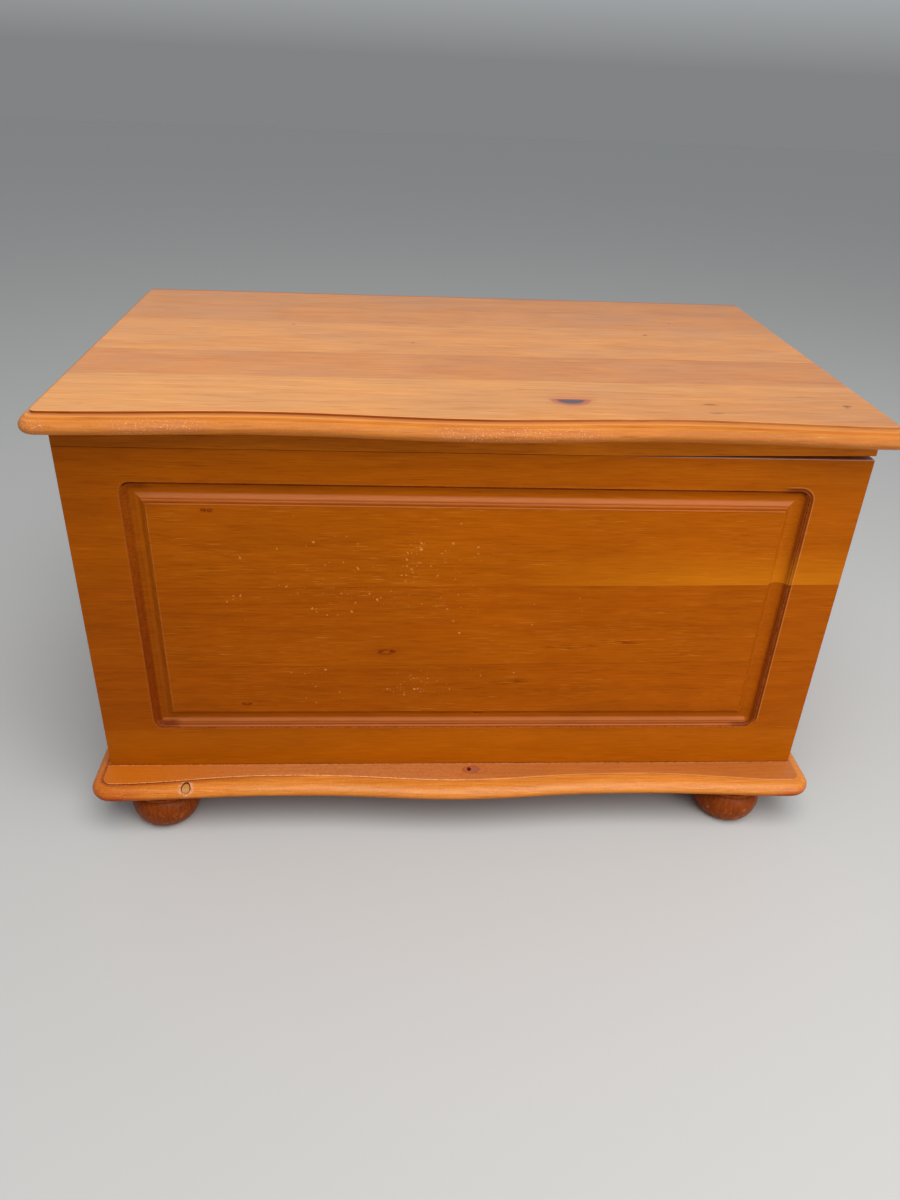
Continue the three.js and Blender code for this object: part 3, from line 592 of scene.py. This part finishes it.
def base_marks(tree, board, colour, rough, sheen):
    """Painted shade and highlight at the base's arris and nose, the dirt on its flat, a small knot and the
    plug.
    """
    along, across, through = add(tree, "SeparateXYZ", {0: board}).node.outputs
    grit = noise(board, (3, 3, 3), 3.0, 0.7)
    below = add(tree, "Math", {0: BASE_TOP, 1: through}, operation="SUBTRACT")
    left = add(tree, "MapRange", {0: along, 1: -170, 2: -320, 4: 0.7})

    # Painted shade in the step under the arris, strongest at the left, and a painted highlight on the arris
    # in the middle
    uneven = add(tree, "MapRange", {0: noise(board, (60, 60, 60)), 1: 0.35, 2: 0.6, 3: 0.1, 4: 0.5})
    shade = band(below, 1.1, 0.1, 0.25)
    colour = darkened(colour, "#8a4818", shade, largest(uneven, left))
    colour = darkened(colour, "#a8622c", band(below, 0.9, 0.5, 0.4), left, 0.7)
    kept = add(tree, "MapRange", {0: along, 1: -20, 2: 120, 3: 0.85, 4: 0.12})
    arris = band(below, 0.35, 0.25, 0.15)
    colour = tinted(colour, "#ffc08a", arris, ramp(grit, 0.3, 0.55), kept)

    # Painted shade on the nose below, at its ends and towards the left, and its gloss is worn off there
    colour = darkened(colour, "#dcbe5a", ramp(below, 9.5, 16.5))
    worn_off = largest(ramp(below, 8, 16), left)
    sheen = add(tree, "MapRange", {0: worn_off, 3: sheen, 4: 0.05})
    colour = darkened(colour, "#f4e0cc", add(tree, "MapRange", {0: along, 1: -240, 2: -420}))
    ends = ramp(away_from(board, 0, 0, 425, 1000), 0.92, 1.03)
    colour = darkened(colour, "#dca672", ends, ramp(below, 0, 16))

    # Dark flecks and pale dust
    flecks = ramp(noise(board, (5, 2, 2), 3.0, 0.7), 0.6, 0.72)
    colour = darkened(colour, "#b0703c", flecks, 0.3)
    dust = ramp(noise(board, (3, 1.5, 1.5), 3.0, 0.7), 0.55, 0.7)
    colour = tinted(colour, "#e4a47c", dust, 0.3)

    # The flat is more orange towards the left, with crumbs and a dark line at the panel's foot
    flat = add(tree, "Math", {0: below, 1: 0.2}, operation="LESS_THAN")
    colour = darkened(colour, "#d8bcaa", flat, 0.9)
    far_left = add(tree, "MapRange", {0: along, 1: -290, 2: -370, 3: 0.5, 4: 0.9})
    colour = tinted(colour, "#bc6400", flat, left, far_left)
    dusted = add(tree, "MapRange", {0: along, 1: -400, 2: -230, 4: 0.14})
    colour = tinted(colour, "#a87c4c", dusted, flat, ramp(grit, 0.15, 0.5))
    crumbs = ramp(grit, 0.45, 0.6)
    colour = tinted(colour, "#e8a070", flat, band(across, FRONT_Y, 1.0, 2.5), crumbs, 0.35)
    colour = darkened(colour, "#8a3c10", band(across, FRONT_Y, 0.2, 1.2), flat, 0.7)

    # Painted shade on the nose's underside, darkest at its foot
    colour = darkened(colour, "#d89048", ramp(below, 17, 21, 0.5))
    colour = base_knot_marks(tree, board, colour, flat)
    colour = plug_marks(tree, board, colour, grit)
    return colour, rough, sheen


def rail_marks(tree, board, colour, rough, sheen):
    """Painted shade on the rail, darker towards the left, under the lid's nose."""
    along, _, _ = add(tree, "SeparateXYZ", {0: board}).node.outputs
    darker = add(tree, "MapRange", {0: along, 1: 100, 2: -430})
    return darkened(colour, "#d8d0c8", darker), rough, sheen


def foot_marks(tree, board, colour, rough, sheen):
    """Feet rubbed pale in flecks towards the floor, with a light rim where they stand."""
    height, _, _ = add(tree, "SeparateXYZ", {0: board}).node.outputs
    grit = noise(board, (9, 5, 5), 3.0, 0.7)
    flecks = ramp(grit, 0.56, 0.68)
    colour = tinted(colour, "#c47838", band(height, 14, 8, 14), flecks, 0.4)
    colour = tinted(colour, "#c87038", band(height, 1.0, 1.0, 2.5), 0.5)
    return colour, rough, sheen


# Boards of stained pine: planed, rubbed with an orange-brown stain and given a satin lacquer. The eye gets
# warm orange with soft dark streaks along the grain, glue lines between the boards and few reflections.

FRONT_TONES = ["#b86b0d", "#a75503", "#984900", "#7a3800"]
LID_TONES = ["#e8b07a", "#d79552", "#c8823e", "#a4642a"]
BASE_TONES = ["#dc9850", "#cb7e2e", "#bb6a1c", "#99500e"]
RAIL_TONES = ["#c16e10", "#b15f06", "#a05202", "#813f01"]
RAIL_BOARD = [(480, "#ffffff"), (520, "#ffffff")]
ONE_BLANK = [(-500, "#ffffff"), (500, "#ffffff")]

# Orders of the axes for a wall, a side wall, a flat board and upright grain
WALL, SIDE_WALL, FLAT, UPRIGHT = (0, 2, 1), (1, 2, 0), (0, 1, 2), (2, 0, 1)

# The front's stain is deep and its lacquer dull, with little knots and fine even grain
front_pine = pine(
    "stained_pine_front", WALL, FRONT_TONES,
    [(60, "#f6eeea"), (221, "#f8f2f0"), (GLUE_LINE, "#ffffff"), (500, "#ffffff")], tilt=GLUE_CLIMB,
    knots=[(-285, 418, 2.5, 1.5, 3), (-278, 418, 2.5, 1.5, 3), (-91, 239, 9, 3, 6), (-257, 164, 5, 1.5, 4),
           (22, 147, 5, 1.5, 3)],
    contrast=0.1, sheen=0.04, streaky=0.07, marks=front_marks)

# The lid's stain is worn pale, so coarse grain stands out under a soft sheen
lid_pine = pine(
    "stained_pine_lid", FLAT, LID_TONES,
    [(-300, "#ffffff"), (-130, "#f2e4dc"), (-35, "#fff8f0"), (112, "#f4e8e0"), (194, "#f0e4dc"),
     (300, "#ffffff")],
    tilt=0.008, contrast=0.1, sheen=0.35, fibre_mm=2.6, fibre_long=20, streaky=0.16, dashes=0.2,
    marks=lid_marks)

# The base is lighter and more orange than the walls, and glossier along its arris
base_pine = pine(
    "stained_pine_base", FLAT, BASE_TONES,
    [(-300, "#ffffff"), (-90, "#f0dccc"), (110, "#ffffff"), (300, "#ffffff")], contrast=0.12,
    marks=base_marks)

# The rails are single narrow boards in a plain deep orange
rail_pine = pine("stained_pine_rail", WALL, RAIL_TONES, RAIL_BOARD, sheen=0.06, marks=rail_marks)
side_rail_pine = pine("stained_pine_side_rail", SIDE_WALL, RAIL_TONES, RAIL_BOARD, sheen=0.2)

# The sides and the back are boards like the front's, with larger knots and more of the lacquer's shine
side_pine = pine(
    "stained_pine_side", SIDE_WALL, FRONT_TONES,
    [(60, "#e8dccf"), (190, "#ffffff"), (345, "#e6d2c4"), (500, "#ffffff")],
    knots=[(-90, 300, 10, 6, 9), (120, 130, 7, 4, 6)], sheen=0.2)
back_pine = pine(
    "stained_pine_back", WALL, FRONT_TONES,
    [(60, "#f6e8da"), (205, "#e2cdbd"), (365, "#fff4ea"), (500, "#ffffff")],
    knots=[(210, 290, 12, 8, 10), (-300, 150, 9, 6, 8), (-40, 420, 7, 4, 6)], sheen=0.2)

# Turned pine for the feet: a dark red-brown stain over upright grain, hardly any shine
foot_pine = pine(
    "turned_pine", UPRIGHT, ["#974d10", "#823a09", "#6c2a04", "#4e1a01"], ONE_BLANK,
    ring=6.0, contrast=0.1, sheen=0.08, marks=foot_marks)

# Planed pine for the blocks inside: bare, pale yellow and matt, with clear rings
block_pine = pine(
    "planed_pine", UPRIGHT, ["#d9a468", "#cf9455", "#c28344", "#a3642d"], ONE_BLANK,
    contrast=0.2, gloss=0.5)


def end_grain():
    """The plug's cut end grain, lacquered: close rings round a pith to one side, paler than the boards."""
    material, tree, place = blank_material("plug_end_grain")
    off_pith, ring_mm = (-7, 0, 3), 1.6
    place = add(tree, "VectorMath", {0: place, 1: off_pith}, operation="ADD")
    radius, _ = from_plug_axis(place)
    turns = add(tree, "Math", {0: radius, 1: 1 / ring_mm}, operation="MULTIPLY")
    phase = add(tree, "Math", {0: turns}, operation="FRACT")
    pores = noise(place, (0.6, 0.6, 0.6), 2.0)
    depth = add(tree, "Math", {0: phase, 1: 0.35, 2: pores}, operation="MULTIPLY_ADD")
    colour = add(tree, "ValToRGB", {0: depth},
                 [(0.3, linear("#c88c48")), (0.6, linear("#b87834")), (0.9, linear("#8a5420"))])
    return surfaced(material, {"Base Color": colour, "Roughness": 0.4, "Specular IOR Level": 0.3})


def metal(name, tone, dull, rough, grain_mm):
    """Rolled or drawn metal: dull patches, and grain lines several times as coarse as real ones, to show."""
    material, tree, place = blank_material(name)
    grain = noise(place, (12 * grain_mm, grain_mm, grain_mm), 3.0)
    patch = noise(place, (18, 18, 18))
    worn = add(tree, "MapRange", {0: patch, 1: 0.35, 2: 0.7})
    colour = add(tree, "Mix", {0: worn, 6: linear(tone), 7: linear(dull)}, data_type="RGBA")
    shine = add(tree, "MapRange", {0: patch, 1: 0.3, 2: 0.7, 3: rough - 0.08, 4: rough + 0.15})
    bump = add(tree, "Bump", {"Strength": 0.2, "Distance": 0.05 * MM, "Height": grain})
    return surfaced(material, {"Base Color": colour, "Metallic": 1.0, "Roughness": shine, "Normal": bump})


# Pressed sheet brass of the hinges and the stay: muted yellow, browner where it has dulled
brass = metal("pressed_brass", "#c9a455", "#9a7836", rough=0.34, grain_mm=0.4)

# Zinc-plated steel of the pins and bolts: a soft cool grey
steel = metal("zinc_plated_steel", "#b9bcbe", "#8e9294", rough=0.32, grain_mm=0.3)

# Brass screws, a little browner than the leaves they hold
brass_screws = metal("brass_screws", "#c4a05a", "#8c6c34", rough=0.3, grain_mm=0.5)


# Moulded boards, with the serpentine of the solids and a finer section. The arris stands out beyond the
# walls by side and front, and further at the wave's crests, by crest in the middle and at the ends. The
# nose reaches beyond it by reach in the hollows, in the middle and at the ends, and by side_reach at the
# board's sides.

BACK_STEP, FILLET_DROP = 6.0, 0.2
EASE = 0.5
NOSE_STEPS = 32
STRAIGHT_RUN = 40
LID_EDGE = dict(thickness=22, corner=6, side=7, front=10, crest=(10.4, 10.4), power=1.0, step=3.0,
                fillet=2.0, reach=(20, 20, 20), side_reach=10, top=LID_TOP)
BASE_EDGE = dict(thickness=22, corner=12, side=3, front=21, crest=(10.3, 13.5), power=1.3, step=1.2,
                 fillet=1.5, reach=(21.5, 20, 14), side_reach=14, top=BASE_TOP)


def serpentine(x, edge):
    """Where the arris lies at x and how far the nose reaches beyond it."""
    span = 2 * (HALF_WIDTH + edge["side"] - edge["corner"])
    height = ((1 + math.cos(4 * math.pi * x / span)) / 2) ** edge["power"]
    outer = abs(x) > span / 4
    hollow, *crests = edge["reach"]
    return -(edge["front"] + edge["crest"][outer] * height), hollow + (crests[outer] - hollow) * height


def moulding_section(edge, reach):
    """The edge from top to bottom as (beyond the arris, below the top), in millimetres."""
    step, fillet = edge["step"], edge["fillet"]
    ease = min(EASE, 0.4 * step)
    quarter = [math.pi / 2 * i / 4 for i in range(5)]
    nose_top = step + FILLET_DROP
    half = (edge["thickness"] - nose_top) / 2

    # The top, the eased arris and the foot of its step, then the nose round to the underside
    points = [(-BACK_STEP, 0)]
    points += [(ease * (math.sin(a) - 1), ease * (1 - math.cos(a))) for a in quarter]
    points += [(ease * (1 - math.cos(a)), step - ease * (1 - math.sin(a))) for a in quarter]
    round_nose = [math.pi * i / NOSE_STEPS for i in range(NOSE_STEPS + 1)]
    points += [(fillet + (reach - fillet) * math.sin(a), nose_top + half * (1 - math.cos(a)))
               for a in round_nose]
    points.append((-BACK_STEP, edge["thickness"]))
    return points


def moulded_mesh(name, edge):
    """A board whose moulded edge runs round both sides and along the serpentine front."""
    straight = HALF_WIDTH + edge["side"] - edge["corner"]
    corner_y = serpentine(straight, edge)[0] + edge["corner"]
    side_reach, corner_reach = edge["side_reach"], edge["reach"][2]
    back = BACK_Y - FRONT_Y
    turns, runs = 12, 160
    stations = [(-straight - edge["corner"], y, -1.0, 0.0, side_reach)
                for y in (back, corner_y + STRAIGHT_RUN)]
    for side, start in ((-1, math.pi), (1, -math.pi / 2)):
        for i in range(turns + 1):
            angle = start + math.pi / 2 * i / turns
            out_x, out_y = math.cos(angle), math.sin(angle)
            reach = side_reach + (corner_reach - side_reach) * out_y ** 2
            stations.append((side * straight + edge["corner"] * out_x, corner_y + edge["corner"] * out_y,
                             out_x, out_y, reach))
        if side < 0:
            for i in range(1, runs):
                x = straight * (2 * i / runs - 1)
                y, reach = serpentine(x, edge)
                lean = serpentine(x + 0.5, edge)[0] - serpentine(x - 0.5, edge)[0]
                length = math.hypot(lean, 1)
                stations.append((x, y, lean / length, -1 / length, reach))
    stations += [(straight + edge["corner"], y, 1.0, 0.0, side_reach)
                 for y in (corner_y + STRAIGHT_RUN, back)]
    rows = [[(x + out_x * far, FRONT_Y + y + out_y * far, edge["top"] - drop)
             for far, drop in moulding_section(edge, reach)] for x, y, out_x, out_y, reach in stations]
    wide = len(rows[0])
    places = [tuple(c * MM for c in point) for row in rows for point in row]
    faces = []
    for i in range(len(rows) - 1):
        for j in range(wide - 1):
            a, b = i * wide + j, (i + 1) * wide + j
            faces.append((a, a + 1, b + 1, b))
    last = (len(rows) - 1) * wide
    faces.append([i * wide for i in range(len(rows))])
    faces.append([i * wide + wide - 1 for i in reversed(range(len(rows)))])
    faces.append([last + j for j in range(wide)] + [j for j in reversed(range(wide))])
    mesh = bpy.data.meshes.new(name)
    mesh.from_pydata(places, [], faces)
    return mesh


def plain_mesh(worker, name):
    """The evaluated shape of a helper object as a mesh of its own. The helper is deleted."""
    evaluated = worker.evaluated_get(bpy.context.evaluated_depsgraph_get())
    mesh = bpy.data.meshes.new_from_object(evaluated)
    mesh.name = name
    bpy.data.objects.remove(worker)
    return mesh


def socketed(mesh):
    """The base board with the plug's socket bored into its nose."""
    drill = bmesh.new()
    inwards, outwards, radius = PLUG_DEPTH + GLUE_GAP, 18.0, (PLUG_RADIUS + GLUE_GAP) * MM
    deep = inwards + outwards
    turn = Matrix.Translation(Vector(PLUG_PLACE) * MM) @ Matrix.Rotation(math.pi / 2 - PLUG_TILT, 4, "X")
    turn = turn @ Matrix.Translation((0, 0, (outwards - inwards) / 2 * MM))
    bmesh.ops.create_cone(drill, cap_ends=True, segments=48, radius1=radius, radius2=radius,
                          depth=deep * MM, matrix=turn)
    cutter_mesh = bpy.data.meshes.new("socket_drill")
    drill.to_mesh(cutter_mesh)
    drill.free()
    cutter = in_scene("socket_drill", cutter_mesh)
    worker = in_scene("base_blank", mesh)
    boring = worker.modifiers.new("socket", "BOOLEAN")
    boring.operation = "DIFFERENCE"
    boring.solver = "EXACT"
    boring.object = cutter
    bored = plain_mesh(worker, "base_board_moulded")
    bpy.data.objects.remove(cutter)
    return bored


lid_board = moulded_mesh("lid_board_moulded", LID_EDGE)
base_board = socketed(moulded_mesh("base_blank", BASE_EDGE))
new_piece("lid_board_moulded", lid_board, "lid", lid_pine, ["lid_board"])
new_piece("base_board_moulded", base_board, "carcass", base_pine, ["base_board"])

# Pieces that keep the shape of their solids
for node, material in [
    ("front_panel", front_pine),
    ("back_panel", back_pine),
    ("left_side", side_pine),
    ("right_side", side_pine),
    ("lid_rail_front", rail_pine),
    ("lid_rail_back", rail_pine),
    ("lid_rail_left", side_rail_pine),
    ("lid_rail_right", side_rail_pine),
]:
    eased_copy(node, material)
eased_copy("base_edge_plug", end_grain())
for place in ("front_left", "front_right", "back_left", "back_right"):
    eased_copy("foot_" + place, foot_pine, ease=0.5)
    eased_copy("foot_bolt_" + place, steel, ease=0.3)
    eased_copy("corner_block_" + place, block_pine, ease=0.6)
for side in ("left", "right"):
    eased_copy(f"hinge_{side}_box_leaf", brass, ease=0.15)
    eased_copy(f"hinge_{side}_lid_leaf", brass, ease=0.15)
    eased_copy(f"hinge_{side}_pin", steel, ease=0.3)
for node in ("stay_box_bracket", "stay_lid_bracket", "stay_arm"):
    eased_copy(node, brass, ease=0.2)


# Screws of the hinges and brackets

def screw_tree(material):
    """Countersunk cross-head screws set on points, each turned to look out along the point's vector."""
    tree = bpy.data.node_groups.new("countersunk_screws", "GeometryNodeTree")
    sockets = tree.interface
    sockets.new_socket("Geometry", in_out="INPUT", socket_type="NodeSocketGeometry")
    for name, value in (("Head radius", 3.3), ("Shank radius", 1.7), ("Length", 11.0), ("Cross width", 0.9),
                        ("Cross depth", 1.2)):
        socket = sockets.new_socket(name, in_out="INPUT", socket_type="NodeSocketFloat")
        socket.default_value = value * MM
    seed = sockets.new_socket("Seed", in_out="INPUT", socket_type="NodeSocketInt")
    seed.default_value = 4
    sockets.new_socket("Geometry", in_out="OUTPUT", socket_type="NodeSocketGeometry")
    given = add(tree, "NodeGroupInput").node.outputs
    head, shank, length, cross, deep = (given[name] for name in (
        "Head radius", "Shank radius", "Length", "Cross width", "Cross depth"))

    # A cone down from the head's face, a shank below it, and two slots cut across its middle
    sink = add(tree, "Math", {0: head, 1: shank}, operation="SUBTRACT")
    cone = add(tree, "GeometryNodeMeshCone", {"Vertices": 32, "Radius Top": head, "Radius Bottom": shank,
                                              "Depth": sink})
    down = add(tree, "Math", {0: sink, 1: -1.0}, operation="MULTIPLY")
    drop = add(tree, "CombineXYZ", {2: down})
    cone = add(tree, "GeometryNodeTransform", {"Geometry": cone, "Translation": drop})
    rod = add(tree, "GeometryNodeMeshCylinder", {"Vertices": 16, "Radius": shank, "Depth": length})
    low = add(tree, "Math", {0: length, 1: -0.5, 2: down}, operation="MULTIPLY_ADD")
    drop = add(tree, "CombineXYZ", {2: low})
    rod = add(tree, "GeometryNodeTransform", {"Geometry": rod, "Translation": drop})
    reach = add(tree, "Math", {0: head, 1: 1.15}, operation="MULTIPLY")
    twice = add(tree, "Math", {0: deep, 1: 2.0}, operation="MULTIPLY")
    cut = add(tree, "GeometryNodeMeshBoolean", {"Mesh 1": cone}, operation="DIFFERENCE").node
    for wide, narrow in ((reach, cross), (cross, reach)):
        size = add(tree, "CombineXYZ", {0: wide, 1: narrow, 2: twice})
        slot = add(tree, "GeometryNodeMeshCube", {"Size": size})
        tree.links.new(slot, cut.inputs["Mesh 2"])
    screw = add(tree, "GeometryNodeJoinGeometry").node
    tree.links.new(cut.outputs["Mesh"], screw.inputs[0])
    tree.links.new(rod, screw.inputs[0])

    # One at each point, turned by chance round its own axis
    out = add(tree, "GeometryNodeInputNamedAttribute", {"Name": "out"}, data_type="FLOAT_VECTOR")
    facing = add(tree, "FunctionNodeAlignRotationToVector", {"Vector": out}, axis="Z")
    spin = add(tree, "FunctionNodeRandomValue", {"Max": math.pi, "Seed": given["Seed"]}, data_type="FLOAT")
    chance = next(socket for socket in spin.node.outputs if socket.enabled)
    own = add(tree, "FunctionNodeAxisAngleToRotation", {"Axis": (0, 0, 1), "Angle": chance})
    turn = add(tree, "FunctionNodeRotateRotation", {"Rotation": facing, "Rotate By": own},
               rotation_space="LOCAL")
    set_out = add(tree, "GeometryNodeInstanceOnPoints", {
        "Points": given["Geometry"], "Instance": screw.outputs[0], "Rotation": turn})
    real = add(tree, "GeometryNodeRealizeInstances", {"Geometry": set_out})
    done = add(tree, "GeometryNodeSetMaterial", {"Geometry": real, "Material": material})
    add(tree, "NodeGroupOutput", {0: done})
    return tree


def screws(name, body, places, material, tree):
    """Screws at (place in mm, direction out), as one plain mesh for the body."""
    mesh = bpy.data.meshes.new(name + "_points")
    mesh.from_pydata([tuple(c * MM for c in place) for place, _ in places], [], [])
    outs = mesh.attributes.new("out", "FLOAT_VECTOR", "POINT")
    outs.data.foreach_set("vector", [c for _, out in places for c in out])
    worker = in_scene(name + "_points", mesh)
    setting = worker.modifiers.new("screws", "NODES")
    setting.node_group = tree
    inputs = {item.name: item.identifier for item in tree.interface.items_tree
              if getattr(item, "in_out", "") == "INPUT"}
    setting[inputs["Seed"]] = 7
    new_piece(name, plain_mesh(worker, name), body, material)


# Three screws along each hinge leaf, in from the pin, and two in each bracket, all sunk a little
HINGE_SCREWS, FROM_PIN = (-27, 0, 27), 13.2
BRACKET_SCREWS, BRACKET_THICK = (-16, 16), 2.0
SUNK = 0.1


def screw_places():
    """Each body's screws, as (place, direction out)."""
    places = {"carcass": [], "lid": []}
    y = middle_of("hinge_left_pin")[1] - FROM_PIN
    for side in ("left", "right"):
        for body, leaf, up in (("carcass", "box", 1), ("lid", "lid", -1)):
            x = middle_of(f"hinge_{side}_{leaf}_leaf")[0]
            face = PANEL_TOP if up > 0 else PANEL_TOP + GLUE_GAP
            places[body] += [((x + step, y, face - SUNK * up), (0, 0, up)) for step in HINGE_SCREWS]
    for body, node in (("carcass", "stay_box_bracket"), ("lid", "stay_lid_bracket")):
        _, y, z = middle_of(node)
        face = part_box(node)[1].x / MM - BRACKET_THICK
        places[body] += [((face + SUNK, y + step, z), (-1, 0, 0)) for step in BRACKET_SCREWS]
    return places


cross_heads = screw_tree(brass_screws)
for body, places in screw_places().items():
    screws(body + "_screws", body, places, brass_screws, cross_heads)


# Floor, light and camera

def plain_floor():
    """A pale matt floor, 24 m wide."""
    material, _, _ = blank_material("pale_floor")
    surfaced(material, {"Base Color": linear("#b6b5b2"), "Roughness": 0.8})
    half = 12.0
    mesh = bpy.data.meshes.new("floor")
    corners = [(-half, -half, 0), (half, -half, 0), (half, half, 0), (-half, half, 0)]
    mesh.from_pydata(corners, [], [(0, 1, 2, 3)])
    mesh.materials.append(material)
    in_scene("floor", mesh)


def soft_light(name, place, size, power, target=(0, 0, 0.3)):
    """A round lamp of that width in metres, turned to the chest."""
    light = bpy.data.lights.new(name, "AREA")
    light.shape = "DISK"
    light.size = size
    light.energy = power
    lamp = in_scene(name, light)
    lamp.location = place
    lamp.rotation_euler = (Vector(target) - Vector(place)).to_track_quat("-Z", "Y").to_euler()


def soft_sky():
    """A pale room: as dim as the far floor at the horizon, brighter above it."""
    sky = bpy.data.worlds.new("soft_sky")
    sky.use_nodes = True
    tree = sky.node_tree
    tree.nodes.clear()
    direction = add(tree, "TexCoord").node.outputs["Generated"]
    _, _, up = add(tree, "SeparateXYZ", {0: direction}).node.outputs
    glow = add(tree, "ValToRGB", {0: up},
               [(0.0, linear("#818384")), (0.1, linear("#b4b7ba")), (0.3, linear("#c6cace")),
                (0.6, linear("#a4a8ac"))])
    surface = add(tree, "Background", {"Color": glow, "Strength": 1.0})
    add(tree, "OutputWorld", {0: surface})
    bpy.context.scene.world = sky


def photo_camera():
    """The photograph's camera, solved from the box's edges. Its frame is 900 by 1200 pixels."""
    focal_px, high_px, sensor_mm = 922.24, 1200, 36.0
    yaw, pitch, roll = (math.radians(a) for a in (-4.4293, 30.4296, 2.6141))
    lens = bpy.data.cameras.new("photo_camera")
    lens.sensor_width = sensor_mm
    lens.lens = focal_px / high_px * sensor_mm
    camera = in_scene("photo_camera", lens)
    stands_at = (-0.08886, -1.13777, 0.84005)
    place = Matrix.Translation(stands_at)
    for angle, axis in ((yaw, "Z"), (math.pi / 2 - pitch, "X"), (roll, "Z")):
        place = place @ Matrix.Rotation(angle, 4, axis)
    camera.matrix_world = place
    bpy.context.scene.camera = camera


plain_floor()
soft_light("overhead", (0.3, -1.3, 2.6), size=2.8, power=84)
soft_light("right_fill", (1.5, -1.8, 0.8), size=1.2, power=16)
soft_sky()
bpy.context.scene.view_settings.view_transform = "Standard"
photo_camera()
